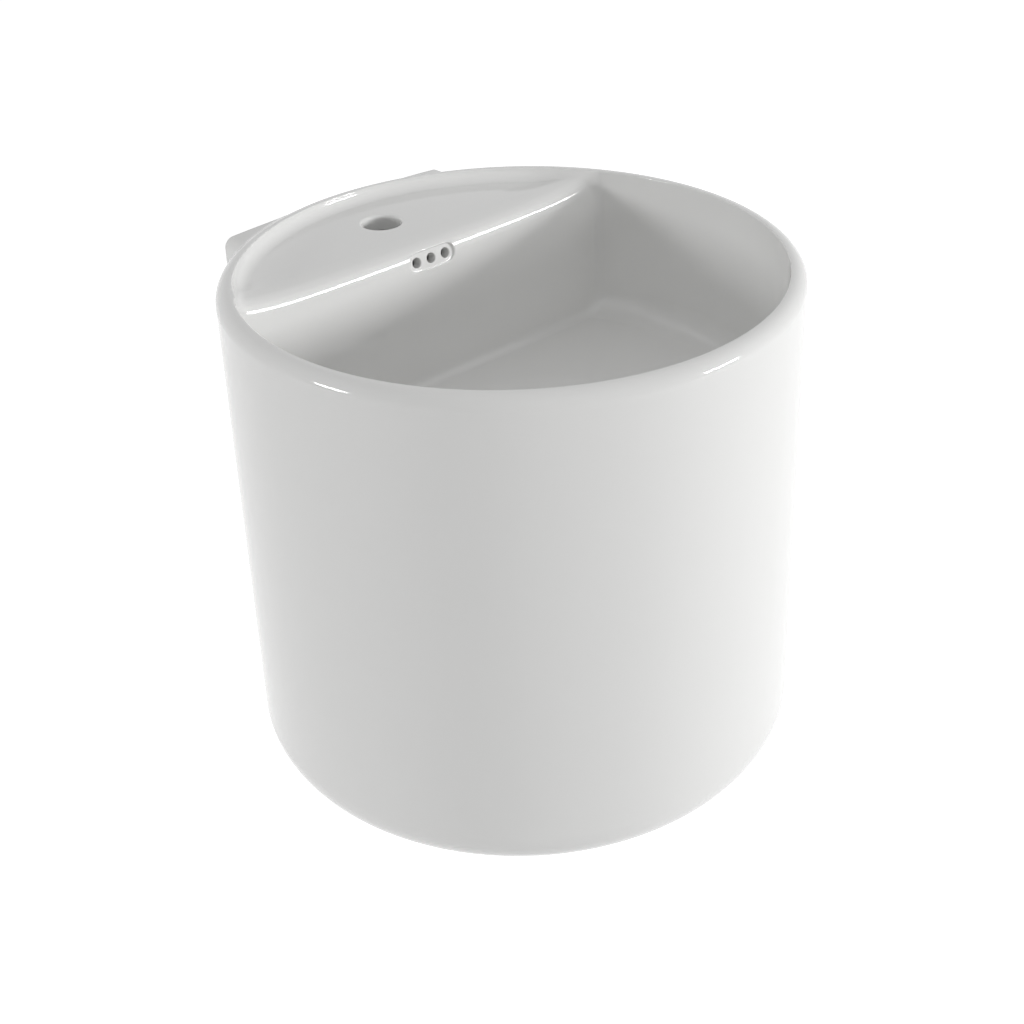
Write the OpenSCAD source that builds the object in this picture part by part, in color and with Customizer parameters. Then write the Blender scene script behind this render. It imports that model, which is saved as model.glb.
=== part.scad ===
// Wall-hung drum washbasin: a one-piece glazed ceramic drum with a D-shaped bowl, a tap ledge,
// three overflow holes and a wall pad, and the waste, bottle trap and wall fixings that it hides.
// Frame: X to the right, Y into the wall, Z up. The origin lies on the wall, midway between the fixings.

/* [Drum] */
// Outer diameter of the drum
drum_d = 480; // [460:1:500]
// Height of the drum, foot to rim
drum_h = 440; // [432:1:520]
// Distance from the drum axis to the wall
axis_to_wall = 235; // [228:1:236]
// Width of the rim
rim_w = 14; // [13:0.5:18]
// Rounding of the rim's outer edge
rim_r = 12; // [6:0.5:12.5]
// Wall thickness of the skirt under the bowl
skirt_t = 12; // [9:0.5:14]
// Rounding of the drum's bottom edge
bottom_r = 41; // [30:1:50]
// Width of the flat foot ring
foot_w = 14; // [13:1:30]
// Thickness of the flat back wall inside the drum
back_t = 16; // [13:0.5:20]

/* [Bowl] */
// Depth of the bowl from the rim to the floor's edge
bowl_depth = 142; // [120:1:160]
// Distance from the drum axis to the bowl's back wall
bowl_back = 101; // [85:1:110]
// Thickness of the bowl's back wall
bowl_back_t = 12; // [9:0.5:14]
// Thickness of the bowl's floor
floor_t = 14; // [10:0.5:18]
// Rounding between the floor and the round wall
bowl_r = 22; // [10:1:30]
// Bevel between the floor and the back wall
cove = 5; // [2:0.5:8]
// Fall of the floor towards the waste
dish_drop = 6; // [3:0.5:10]
// Diameter of the sloping part of the floor
dish_d = 180; // [140:5:185]

/* [Tap ledge] */
// Drop from the rim to the ledge
ledge_drop = 11; // [8:0.5:15]
// Thickness of the ledge
ledge_t = 14; // [10:0.5:18]
// Rounding between the ledge and the rim
ledge_fillet = 7.5; // [4:0.5:7.5]
// Radius of the ledge's rolled front
roll_r = 68; // [40:1:80]
// Angle that the roll turns through before the lip
roll_angle = 28; // [15:1:32]
// Radius of the lip between the roll and the bowl
lip_r = 6; // [3:0.5:8]
// Diameter of the tap hole
tap_d = 35; // [32:0.5:36]
// Distance from the tap hole to the wall
tap_to_wall = 65; // [60:1:70]
// Width of the tap hole's bevelled edge
tap_bevel = 2.5; // [1:0.5:4]

/* [Overflow] */
// Diameter of an overflow hole
over_d = 9; // [6:0.5:10]
// Number of overflow holes
over_n = 3; // [1:1:3]
// Spacing of the overflow holes
over_pitch = 16; // [13:0.5:17]
// Drop from the rim to the overflow holes
over_drop = 26.2; // [25:0.2:32]
// Depth of the flat that the holes are drilled in, at its middle
over_recess = 2.7; // [1:0.1:4]
// Tilt of the flat and of its holes
over_tilt = 17; // [5:1:20]
// Radius of the ends of the flat
over_flat_r = 8.5; // [7:0.5:9.5]
// Width of the overflow duct behind the bowl
duct_w = 50; // [48:1:60]
// Depth of the overflow duct behind the bowl
duct_t = 14; // [10:0.5:16]
// Thickness of the ceramic round the duct
duct_wall = 10; // [6:0.5:12]
// Drop from the rim to the top of the duct
duct_drop = 22; // [21:0.5:24]
// Width of the channel under the floor
channel_w = 36; // [24:1:40]
// Height of the channel under the floor
channel_h = 14; // [10:0.5:16]

/* [Wall pad] */
// Width of the pad that squares off the drum's back
pad_w = 246; // [240:2:270]
// Drop from the rim to the pad's top, in its middle
pad_drop = 4.6; // [3:0.2:10]
// Radius of the pad's arched top
pad_crown_r = 2000; // [1500:50:4000]
// Rounding of the pad's corners
pad_corner_r = 9; // [4:0.5:14]
// Distance from the foot to the pad's lower edge
pad_foot = 45; // [40:1:80]
// Width of the notch for the waste pipe
notch_w = 130; // [100:1:140]

/* [Wall fixings] */
// Spacing of the two fixings
fix_spacing = 180; // [150:2:200]
// Drop from the rim to the fixings
fix_drop = 120; // [100:1:140]
// Diameter of a fixing hole in the ceramic
fix_hole_d = 18; // [16:0.5:20]
// Diameter of a stud
stud_d = 10; // [8:0.5:10]
// Length of a stud inside the wall
stud_in_wall = 57; // [50:1:65]
// Length of a stud on the room side of the wall
stud_in_room = 35; // [34:1:45]
// Diameter of a stud's coarse thread inside the wall
wall_thread_d = 12; // [10.5:0.5:14]
// Diameter of a washer
washer_d = 30; // [26:1:32]
// Thickness of a washer
washer_t = 2; // [1.5:0.5:3]
// Size across the flats of a nut
nut_af = 17; // [16:0.5:19]
// Height of a nut
nut_h = 8; // [6:0.5:10]
// Thickness of a sleeve's collar
sleeve_collar_t = 3; // [2:0.5:4]
// Diameter of a sleeve's collar
sleeve_collar_d = 30; // [26:1:32]
// Length of a nut cap
cap_l = 20; // [19:0.5:24]
// Wall thickness of a nut cap
cap_wall = 1.5; // [1:0.1:2.5]

/* [Waste] */
// Distance from the drum axis to the waste, towards the front
waste_y = 30; // [20:1:45]
// Diameter of the waste hole in the ceramic
waste_hole_d = 46; // [44:0.5:48]
// Diameter of the waste's flange
flange_d = 65; // [62:1:70]
// Height of the waste's flange
flange_t = 4.5; // [4:0.1:5.5]
// Diameter of the waste's threaded tail
tail_d = 41.9; // [40:0.1:42.5]
// Wall thickness of the tail
tail_wall = 2.2; // [1.8:0.1:2.6]
// Length of the waste from its flange down
tail_l = 92; // [85:1:105]
// Thickness of the soft washer under the flange
top_washer_t = 1.5; // [1:0.1:2.5]
// Height of the cone seal under the ceramic
cone_h = 8; // [6:0.5:10]
// Thickness of the slip washer
slip_t = 2; // [1.5:0.5:3]
// Size across the flats of the back nut
backnut_af = 60; // [56:1:66]
// Height of the back nut
backnut_h = 10; // [8:0.5:14]
// Diameter of the plug's cap
plug_cap_d = 63; // [60:0.5:64]
// Height of the plug's domed cap
plug_cap_h = 4.5; // [3:0.1:6]
// Travel of the plug
plug_travel = 8; // [6:0.5:9]
// Thickness of the plug's seal
plug_seal_t = 2.2; // [1.5:0.1:2.6]
// Diameter of the plug's stem
stem_d = 8; // [6:0.5:9]
// Diameter of the click cartridge
cartridge_d = 16; // [15:0.5:18]
// Length of the click cartridge
cartridge_l = 36; // [34:0.5:40]
// Wire diameter of the click spring
spring_wire = 0.9; // [0.7:0.1:1]
// Number of turns of the click spring
spring_n = 5; // [4:1:6]

/* [Bottle trap] */
// Diameter of the trap's tubes
pipe_d = 32; // [31:0.5:33]
// Wall thickness of the tubes
pipe_wall = 1.2; // [1:0.1:1.6]
// Drop from the rim to the outlet pipe's centre
outlet_drop = 318; // [312:1:325]
// Length of the outlet pipe inside the wall
outlet_in_wall = 45; // [30:1:60]
// Outer diameter of the bottle
bottle_d = 58; // [56:1:64]
// Wall thickness of the bottle
bottle_wall = 2.5; // [2:0.1:3.5]
// Height of the bottle
bottle_h = 76; // [70:1:78]
// Depth of the cup under the bottle
cup_depth = 38; // [30:1:40]
// Overlap of the cup over the bottle's thread
cup_overlap = 16; // [14:0.5:18]
// Diameter of the bottle's necks
neck_d = 40; // [38:0.5:42]
// Outer diameter of the trap's nuts
trap_nut_d = 50; // [48:1:54]
// Height of the trap's nuts
trap_nut_h = 22; // [20:1:26]
// Thickness of the trap's seals
trap_seal_t = 4; // [2:0.5:5]
// Number of grip ribs on each nut and on the cup
grip_n = 12; // [6:1:18]
// Diameter of the wall rosette
rosette_d = 76; // [60:1:90]
// Height of the wall rosette
rosette_h = 8; // [6:0.5:12]

/* [Hidden] */
$fn = 96;
// Gap of a part that slides or turns in another
run_gap = 0.05;
// Gap between parts that only lie side by side
loose_gap = 0.3;
// Length by which a cutter passes the face that it opens
over = 1;
// Length that is longer than the whole basin
far = 1000;

// Colours of the finishes
glaze = [0.93, 0.93, 0.92];
chrome = [0.78, 0.79, 0.8];
zinc = [0.62, 0.64, 0.66];
rubber = [0.16, 0.16, 0.17];
white_plastic = [0.9, 0.9, 0.88];

// Drum, in its own frame: the axis at X = Y = 0, the rim at Z = 0
drum_r = drum_d / 2;
inner_r = drum_r - rim_w;
skirt_r = drum_r - skirt_t;
foot_r = drum_r - bottom_r - foot_w;
foot_lip_r = skirt_t / 2;
cavity_fillet = 6;
cavity_top = -(ledge_drop + ledge_t);
back_inside = axis_to_wall - back_t;
pad_back_l = 60;
notch_l = 90;
duct_front = bowl_back + bowl_back_t;
duct_back = duct_front + duct_t + duct_wall;
channel_floor_t = 8;

// Ledge: the roll's centre, the point where the lip starts, and the lip's centre
lip_y = bowl_back + lip_r;
lip_start_y = lip_y - lip_r * sin(roll_angle);
roll_y = lip_start_y + roll_r * sin(roll_angle);
roll_z = -ledge_drop - roll_r;
lip_start_z = roll_z + roll_r * cos(roll_angle);
lip_z = lip_start_z - lip_r * cos(roll_angle);
arc_steps = 10;
lip_step = (90 - roll_angle) / arc_steps;
tap_y = axis_to_wall - tap_to_wall;

// Levels at the waste, all from the dish's bottom
dish_z = -(bowl_depth + dish_drop);
seat_z = dish_z - flange_t - top_washer_t;
channel_top = seat_z - duct_wall;
channel_bottom = channel_top - channel_h;
boss_z = channel_bottom - channel_floor_t;
flange_r = flange_d / 2;
flange_edge_r = 1.2;
flange_gap = 1;
seat_r = flange_r + flange_gap;
boss_wall = 19;
waste_boss_r = waste_hole_d / 2 + boss_wall;
tail_r = tail_d / 2;
tail_in_r = tail_r - tail_wall;
tail_z = dish_z - tail_l;
cone_z = boss_z - cone_h;
slip_z = cone_z - slip_t;
backnut_z = slip_z - backnut_h;
ring_r = 32;
cone_top_r = 30;
slot_n = 2;
slot_w = 14;

// Plug, in its closed position
stem_r = stem_d / 2;
plug_edge_h = 1.2;
plug_cap_r = plug_cap_d / 2;
plug_dome_h = plug_cap_h - plug_edge_h;
plug_dome_r = (plug_cap_r ^ 2 + plug_dome_h ^ 2) / (2 * plug_dome_h);
plug_cap_z = dish_z + loose_gap;
plug_seal_z = plug_cap_z - plug_seal_t;
flange_rim_w = 5.5;
plug_seat_r = flange_r - flange_rim_w;
plug_seal_r = plug_seat_r - loose_gap;
plug_hub_wall = 8;
plug_hub_r = stem_r + plug_hub_wall;
plug_lip_w = 2;
plug_lip_r = plug_hub_r + plug_lip_w;
plug_lip_t = 1;
plug_hub_z = plug_seal_z - plug_lip_t;

// Click cartridge and the bridge that carries it
cartridge_r = cartridge_d / 2;
cartridge_wall = 1.5;
cartridge_in_r = cartridge_r - cartridge_wall;
cartridge_end_t = 3;
cartridge_gap = 1;
cartridge_top = plug_hub_z - cartridge_gap;
cartridge_bottom = cartridge_top - cartridge_l;
stem_socket = 1.5;
stem_top = plug_cap_z + stem_socket;
stem_tip_z = cartridge_bottom + cartridge_end_t + loose_gap;
stem_collar_r = cartridge_in_r - loose_gap;
stem_collar_t = 2;
stem_collar_z = cartridge_top - cartridge_end_t - loose_gap - plug_travel - stem_collar_t;
spring_z = cartridge_bottom + cartridge_end_t;
spring_l = stem_collar_z - spring_z;
spring_r = stem_collar_r - spring_wire / 2;
spring_steps = 24;
spring_sides = 8;
bridge_wall = 3;
bridge_r = cartridge_r + bridge_wall;
bridge_foot_t = 2;
bridge_foot_r = 5;
bridge_h = 10;
bridge_z = cartridge_bottom - bridge_foot_t;
bridge_rib_t = 3;
bridge_rib_n = 3;

// Trap levels
pipe_r = pipe_d / 2;
pipe_in_r = pipe_r - pipe_wall;
pipe_bore_r = pipe_r + loose_gap;
pipe_insert = 18;
flare_t = 2;
flare_gap = 0.5;
flare_r = tail_r - flare_gap;
nut_end_t = 4;
inlet_washer_t = 2.5;
trap_nut_r = trap_nut_d / 2;
inlet_nut_z = tail_z - inlet_washer_t - flare_t - nut_end_t;
bottle_r = bottle_d / 2;
bottle_in_r = bottle_r - bottle_wall;
bottle_shoulder = 3;
neck_cover = 2;
bottle_top = -(outlet_drop - neck_d / 2 - neck_cover);
bottle_bottom = bottle_top - bottle_h;
neck_r = neck_d / 2;
neck_l = 20;
neck_top = bottle_top + neck_l;
outlet_reach = 24;
outlet_neck_l = bottle_r + outlet_reach;
cup_wall = 2.8;
cup_bore_r = bottle_r + run_gap;
cup_r = cup_bore_r + cup_wall;
cup_edge_r = 8;
cup_seal_t = 2.6;
cup_top = bottle_bottom + cup_overlap;
cup_bottom = bottle_bottom - cup_depth;
dip_below_bottle = 11;
dip_z = bottle_bottom - dip_below_bottle;
grip_r = 1.2;
mark_w = 1.5;
mark_depth = 0.4;
rosette_edge_h = 2.7;
rosette_top_d = 38;

// Wall fixings: distances from the wall towards the room
stud_r = stud_d / 2;
stud_tip = 1.5;
thread_bore_r = stud_r + run_gap;
wall_thread_r = wall_thread_d / 2;
wall_tip_r = 2;
wall_tip_l = 7;
sleeve_r = fix_hole_d / 2 - run_gap;
washer_z = back_t + sleeve_collar_t;
nut_z = washer_z + washer_t;
nut_r = nut_af / sqrt(3);
cap_in_r = nut_r + loose_gap;
cap_r = cap_in_r + cap_wall;
cap_dome_r = 4;

// Moves a shape from the drum's frame to the wall's frame
module at_drum() {
    translate([0, -axis_to_wall, fix_drop]) children();
}

// Moves a shape to the waste's axis
module at_waste() {
    at_drum() translate([0, -waste_y, 0]) children();
}

// Puts a shape on the left and on the right fixing, its Z axis turned towards the room
module at_fixings() {
    for (side = [-1, 1]) {
        translate([side * fix_spacing / 2, 0, 0]) rotate([90, 0, 0]) children();
    }
}

// Ring between two heights
module ring(outer_r, bore_r, low, high) {
    difference() {
        translate([0, 0, low]) cylinder(r = outer_r, h = high - low);
        translate([0, 0, low - over]) cylinder(r = bore_r, h = high - low + 2 * over);
    }
}

// Ring of grip ribs that stand half out of a round wall
module grips(wall_r, low, high) {
    for (i = [0 : grip_n - 1]) {
        rotate([0, 0, i * 360 / grip_n]) translate([wall_r, 0, low]) cylinder(r = grip_r, h = high - low, $fn = 24);
    }
}

// Half section of a drum whose top lies at Z = 0, with both outer edges rounded
module round_section(r, h, top_r, low_r) {
    translate([0, -h]) square([r - low_r, h - top_r]);
    translate([0, -h]) square([r - max(top_r, low_r), h]);
    translate([0, low_r - h]) square([r, h - top_r - low_r]);
    translate([0, low_r - h]) square([r - top_r, h - low_r]);
    translate([r - low_r, low_r - h]) circle(r = low_r);
    translate([r - top_r, -top_r]) circle(r = top_r);
}

// Half section of a recess that is open at the top, with a rounded bottom edge
module recess_section(r, depth, low_r) {
    translate([0, -depth]) square([r - low_r, depth + over]);
    translate([0, low_r - depth]) square([r, depth - low_r + over]);
    translate([r - low_r, low_r - depth]) circle(r = low_r);
}

// Extrudes a section drawn as Y and Z along X, over the whole width
module across(width) {
    rotate([90, 0, 90]) linear_extrude(height = width, center = true) children();
}

// Outer form: the drum and the pad that squares off its back
module outer_form() {
    rotate_extrude($fn = 144) round_section(drum_r, drum_h, rim_r, bottom_r);
    translate([0, axis_to_wall, 0]) rotate([90, 0, 0]) linear_extrude(height = axis_to_wall) pad_section();
}

// Height of the centres of the pad's upper corner roundings, under the arched top
function pad_edge_z() = sqrt((pad_crown_r - pad_corner_r) ^ 2 - (pad_w / 2 - pad_corner_r) ^ 2) - pad_crown_r;

// Front view of the wall pad, with its arched top and rounded corners
module pad_section() {
    pad_h = drum_h - pad_drop - pad_foot;
    straight_w = pad_w - 2 * pad_corner_r;
    translate([0, -pad_drop]) union() {
        translate([-pad_w / 2, pad_corner_r - pad_h]) square([pad_w, pad_edge_z() - pad_corner_r + pad_h]);
        for (side = [-1, 1], z = [pad_corner_r - pad_h, pad_edge_z()]) {
            translate([side * straight_w / 2, z]) circle(r = pad_corner_r);
        }
        intersection() {
            translate([-straight_w / 2, -pad_h]) square([straight_w, pad_h]);
            translate([0, -pad_crown_r]) circle(r = pad_crown_r, $fn = 720);
        }
    }
}

// Hollow inside the skirt and the pad, open at the foot
module skirt_hollow() {
    pad_hollow_w = max(pad_w - 2 * skirt_t, fix_spacing + max(sleeve_collar_d, washer_d) + 2 * loose_gap);
    pad_hollow_h = drum_h - pad_foot - skirt_t + cavity_top;
    intersection() {
        union() {
            rotate_extrude($fn = 144) skirt_section();
            translate([-pad_hollow_w / 2, back_inside - pad_back_l, cavity_top - pad_hollow_h])
                cube([pad_hollow_w, 2 * pad_back_l, pad_hollow_h]);
        }
        translate([-far / 2, back_inside - far, -far]) cube(far);
    }
}

// Half section of the hollow inside the skirt, with the round lip of the foot
module skirt_section() {
    translate([0, cavity_top])
        round_section(skirt_r, drum_h - skirt_t + cavity_top, cavity_fillet, bottom_r - skirt_t);
    difference() {
        translate([0, -drum_h - over]) square([foot_r + foot_lip_r, skirt_t + 2 * over]);
        translate([foot_r + foot_lip_r, foot_lip_r - drum_h]) circle(r = foot_lip_r);
    }
}

// Solid that stays inside the skirt: the bowl's walls and floor, the duct and the waste's boss
module bowl_solid() {
    duct_out_w = duct_w + 2 * duct_wall;
    channel_out_w = channel_w + 2 * duct_wall;
    translate([-drum_r, -drum_r, -bowl_depth - floor_t])
        cube([drum_d, drum_r + bowl_back + bowl_back_t, bowl_depth + floor_t]);
    translate([-duct_out_w / 2, bowl_back, boss_z]) cube([duct_out_w, duct_back - bowl_back, -boss_z]);
    translate([-channel_out_w / 2, -waste_y, boss_z])
        cube([channel_out_w, waste_y + bowl_back + over, -boss_z - bowl_depth]);
    translate([0, -waste_y, boss_z]) cylinder(r = waste_boss_r, h = -boss_z - bowl_depth);
}

// Points on an arc drawn as Y and Z, from one tilt to another, seen from its centre
function arc(y, z, r, from, to) = [for (i = [0 : arc_steps])
    let (t = from + (to - from) * i / arc_steps) [y - r * sin(t), z + r * cos(t)]];

// Section of the hollow in front of the ledge: over the roll, round the lip, down the bowl's back wall
module bowl_section() {
    polygon(concat(
        [[-drum_r, over], [roll_y, over]],
        arc(roll_y, roll_z, roll_r, 0, roll_angle),
        arc(lip_y, lip_z, lip_r, roll_angle + lip_step, 90),
        [[bowl_back, cove - bowl_depth], [bowl_back - cove - over, -bowl_depth - over],
        [-drum_r, -bowl_depth - over]]
    ));
}

// Everything that is hollow above the floor and the ledge
module bowl_hollow() {
    intersection() {
        rotate_extrude($fn = 144) recess_section(inner_r, bowl_depth, bowl_r);
        across(drum_d) bowl_section();
    }
    intersection() {
        rotate_extrude($fn = 144) recess_section(inner_r, ledge_drop, ledge_fillet);
        translate([-far / 2, roll_y, -far / 2]) cube(far);
    }
    translate([0, -waste_y, dish_z]) cylinder(r1 = seat_r, r2 = dish_d / 2, h = dish_drop);
}

// Outline of the flat round the overflow holes
module overflow_flat() {
    flat_w = (over_n - 1) * over_pitch;
    translate([-flat_w / 2, -over_flat_r]) square([flat_w, 2 * over_flat_r]);
    for (side = [-1, 1]) {
        translate([side * flat_w / 2, 0]) circle(r = over_flat_r);
    }
}

// Overflow holes, the flat that they are drilled in, and the duct down to the waste
module overflow_hollow() {
    translate([0, bowl_back + over_recess, -over_drop]) rotate([-over_tilt, 0, 0]) {
        rotate([90, 0, 0]) linear_extrude(height = bowl_back_t) overflow_flat();
        for (i = [0 : over_n - 1]) {
            translate([(i - (over_n - 1) / 2) * over_pitch, -over, 0]) rotate([-90, 0, 0])
                cylinder(d = over_d, h = over + bowl_back_t + duct_t / 2, $fn = 48);
        }
    }
    translate([-duct_w / 2, duct_front, channel_bottom]) cube([duct_w, duct_t, -duct_drop - channel_bottom]);
    translate([-channel_w / 2, -waste_y, channel_bottom]) cube([channel_w, waste_y + duct_front + over, channel_h]);
}

// Arched notch through the back wall for the waste pipe
module pipe_notch() {
    translate([0, axis_to_wall + over, -outlet_drop]) rotate([90, 0, 0]) linear_extrude(height = notch_l) {
        circle(d = notch_w);
        translate([-notch_w / 2, -far]) square([notch_w, far]);
    }
}

// The one fired piece: drum, bowl, ledge, overflow duct and wall pad
module basin_body() {
    color(glaze) difference() {
        at_drum() outer_form();
        translate([-far / 2, 0, -far / 2]) cube(far);
        at_drum() {
            difference() {
                skirt_hollow();
                bowl_solid();
            }
            bowl_hollow();
            overflow_hollow();
            pipe_notch();
            translate([0, tap_y, -ledge_drop - ledge_t - over]) cylinder(d = tap_d, h = ledge_t + 2 * over);
            translate([0, tap_y, -ledge_drop - tap_bevel])
                cylinder(d1 = tap_d, d2 = tap_d + 4 * tap_bevel, h = 2 * tap_bevel);
        }
        at_waste() {
            translate([0, 0, boss_z - over]) cylinder(d = waste_hole_d, h = far);
            translate([0, 0, seat_z]) cylinder(r = seat_r, h = dish_z - seat_z + over);
        }
        at_fixings() translate([0, 0, -over]) cylinder(d = fix_hole_d, h = back_t + 2 * over);
    }
}

// Half section of the waste: flange with the plug's seat, and threaded tail
module waste_section() {
    seat_depth = dish_z - plug_seal_z;
    translate([plug_seat_r, -flange_t]) square([flange_r - flange_edge_r - plug_seat_r, flange_t]);
    translate([plug_seat_r, -flange_t]) square([flange_r - plug_seat_r, flange_t - flange_edge_r]);
    translate([flange_r - flange_edge_r, -flange_edge_r]) circle(r = flange_edge_r);
    translate([tail_in_r, -flange_t]) square([flange_r - flange_edge_r - tail_in_r, flange_t - seat_depth]);
    translate([tail_in_r, -tail_l]) square([tail_wall, tail_l - flange_t + over]);
}

// Bridge inside the waste that carries the click cartridge
module waste_bridge() {
    ring(bridge_r, cartridge_r + run_gap, bridge_z, bridge_z + bridge_h);
    ring(bridge_r, bridge_foot_r, bridge_z, bridge_z + bridge_foot_t);
    rib_r = cartridge_r + bridge_foot_t;
    for (i = [0 : bridge_rib_n - 1]) {
        rotate([0, 0, i * 360 / bridge_rib_n]) translate([rib_r, -bridge_rib_t / 2, bridge_z])
            cube([tail_in_r + tail_wall / 2 - rib_r, bridge_rib_t, bridge_h]);
    }
}

// Waste with overflow slots level with the ceramic's channel
module waste_body() {
    color(chrome) at_waste() {
        difference() {
            translate([0, 0, dish_z]) rotate_extrude() waste_section();
            for (i = [0 : slot_n - 1]) {
                rotate([0, 0, i * 180 / slot_n]) translate([-tail_d / 2 - over, -slot_w / 2, channel_bottom])
                    cube([tail_d + 2 * over, slot_w, channel_h]);
            }
        }
        waste_bridge();
    }
}

// Soft washer between the flange and the ceramic
module waste_top_washer() {
    color(rubber) at_waste() ring(ring_r, tail_r + run_gap, seat_z, seat_z + top_washer_t);
}

// Cone seal under the ceramic
module waste_cone_seal() {
    color(rubber) at_waste() difference() {
        translate([0, 0, cone_z]) cylinder(r1 = ring_r, r2 = cone_top_r, h = cone_h);
        translate([0, 0, cone_z - over]) cylinder(r = tail_r + run_gap, h = cone_h + 2 * over);
    }
}

// Slip washer between the cone seal and the back nut
module waste_slip_washer() {
    color(white_plastic) at_waste() ring(ring_r, tail_r + run_gap, slip_z, cone_z);
}

// Hexagonal back nut on the waste's thread
module waste_back_nut() {
    color(chrome) at_waste() difference() {
        translate([0, 0, backnut_z]) cylinder(r = backnut_af / sqrt(3), h = backnut_h, $fn = 6);
        translate([0, 0, backnut_z - over]) cylinder(r = tail_r + run_gap, h = backnut_h + 2 * over);
    }
}

// Domed plug cap with the hub that the stem screws into
module plug_cap() {
    color(chrome) at_waste() difference() {
        union() {
            translate([0, 0, plug_cap_z]) rotate_extrude() plug_section();
            translate([0, 0, plug_seal_z]) cylinder(r = plug_hub_r, h = plug_seal_t + over);
            translate([0, 0, plug_hub_z]) cylinder(r = plug_lip_r, h = plug_lip_t);
        }
        translate([0, 0, plug_hub_z - over]) cylinder(r = stem_r + run_gap, h = stem_top + over - plug_hub_z);
    }
}

// Half section of the plug's domed cap
module plug_section() {
    square([plug_cap_r, plug_edge_h]);
    intersection() {
        translate([0, plug_cap_h - plug_dome_r]) circle(r = plug_dome_r, $fn = 360);
        square([plug_cap_r, plug_cap_h + over]);
    }
}

// Flat seal under the plug's cap
module plug_seal() {
    color(rubber) at_waste() ring(plug_seal_r, plug_hub_r + run_gap, plug_seal_z, plug_cap_z);
}

// Stem of the plug, with the collar that the spring pushes
module plug_stem() {
    color(zinc) at_waste() {
        translate([0, 0, stem_tip_z]) cylinder(r = stem_r, h = stem_top - stem_tip_z);
        translate([0, 0, stem_collar_z]) cylinder(r = stem_collar_r, h = stem_collar_t);
    }
}

// Housing of the click mechanism
module click_cartridge() {
    color(white_plastic) at_waste() difference() {
        translate([0, 0, cartridge_bottom]) cylinder(r = cartridge_r, h = cartridge_l);
        translate([0, 0, spring_z]) cylinder(r = cartridge_in_r, h = cartridge_l - 2 * cartridge_end_t);
        translate([0, 0, spring_z + over]) cylinder(r = stem_r + run_gap, h = cartridge_l);
    }
}

// Coil spring inside the cartridge
module click_spring() {
    rings = spring_n * spring_steps;
    rise = spring_l - spring_wire;
    points = [for (i = [0 : rings], j = [0 : spring_sides - 1])
        let (a = i * 360 / spring_steps, b = j * 360 / spring_sides, r = spring_r - spring_wire / 2)
        let (w = r + cos(b) * spring_wire / 2, z = spring_wire / 2 + rise * i / rings)
        [w * cos(a), w * sin(a), z + sin(b) * spring_wire / 2]];
    sides = [for (i = [0 : rings - 1], j = [0 : spring_sides - 1])
        let (k = (j + 1) % spring_sides, m = i * spring_sides)
        [m + j, m + spring_sides + j, m + spring_sides + k, m + k]];
    first = [for (j = [0 : spring_sides - 1]) j];
    last = [for (j = [0 : spring_sides - 1]) rings * spring_sides + spring_sides - 1 - j];
    color(zinc) at_waste() translate([0, 0, spring_z])
        polyhedron(points = points, faces = concat(sides, [first, last]), convexity = 10);
}

// Ribbed trap nut with its end plate at Z = 0
module trap_nut(thread_r) {
    difference() {
        union() {
            cylinder(r = trap_nut_r, h = trap_nut_h);
            grips(trap_nut_r, 0, trap_nut_h);
        }
        translate([0, 0, -over]) cylinder(r = pipe_bore_r, h = trap_nut_h);
        translate([0, 0, nut_end_t]) cylinder(r = thread_r, h = trap_nut_h);
    }
}

// Nut that hangs the trap on the waste's tail
module trap_inlet_nut() {
    color(chrome) at_waste() translate([0, 0, inlet_nut_z]) trap_nut(tail_r + run_gap);
}

// Flat washer between the tail and the inlet tube's flare
module trap_inlet_washer() {
    color(rubber) at_waste() ring(flare_r, pipe_in_r, tail_z - inlet_washer_t, tail_z);
}

// Inlet tube with a flare at its top; its lower end dips into the cup
module trap_inlet_tube() {
    flare_z = tail_z - inlet_washer_t;
    color(chrome) at_waste() difference() {
        union() {
            translate([0, 0, dip_z]) cylinder(r = pipe_r, h = flare_z - dip_z);
            translate([0, 0, flare_z - flare_t]) cylinder(r = flare_r, h = flare_t);
        }
        translate([0, 0, dip_z - over]) cylinder(r = pipe_in_r, h = flare_z - dip_z + 2 * over);
    }
}

// Nut that locks the inlet tube's height in the bottle's neck
module trap_collar_nut() {
    color(chrome) at_waste() translate([0, 0, neck_top + trap_seal_t + nut_end_t])
        mirror([0, 0, 1]) trap_nut(neck_r + run_gap);
}

// Seal on top of the bottle's neck
module trap_collar_seal() {
    color(rubber) at_waste() ring(neck_r, pipe_r + run_gap, neck_top, neck_top + trap_seal_t);
}

// Bottle with its upper neck and its outlet neck
module trap_bottle() {
    color(chrome) at_waste() difference() {
        union() {
            translate([0, 0, bottle_bottom]) cylinder(r = bottle_r, h = bottle_h - bottle_shoulder);
            translate([0, 0, bottle_top - bottle_shoulder])
                cylinder(r1 = bottle_r, r2 = bottle_r - bottle_shoulder, h = bottle_shoulder);
            translate([0, 0, bottle_top - bottle_shoulder]) cylinder(r = neck_r, h = neck_l + bottle_shoulder);
            at_outlet() cylinder(r = neck_r, h = outlet_neck_l);
        }
        translate([0, 0, bottle_bottom - over])
            cylinder(r = bottle_in_r, h = bottle_h - bottle_shoulder - bottle_wall + over);
        translate([0, 0, bottle_bottom]) cylinder(r = pipe_bore_r, h = far);
        at_outlet() cylinder(r = pipe_bore_r, h = outlet_neck_l + over);
    }
}

// Turns a shape at the trap's axis so that its Z axis runs along the outlet, towards the wall
module at_outlet() {
    translate([0, 0, -outlet_drop]) rotate([-90, 0, 0]) children();
}

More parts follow.
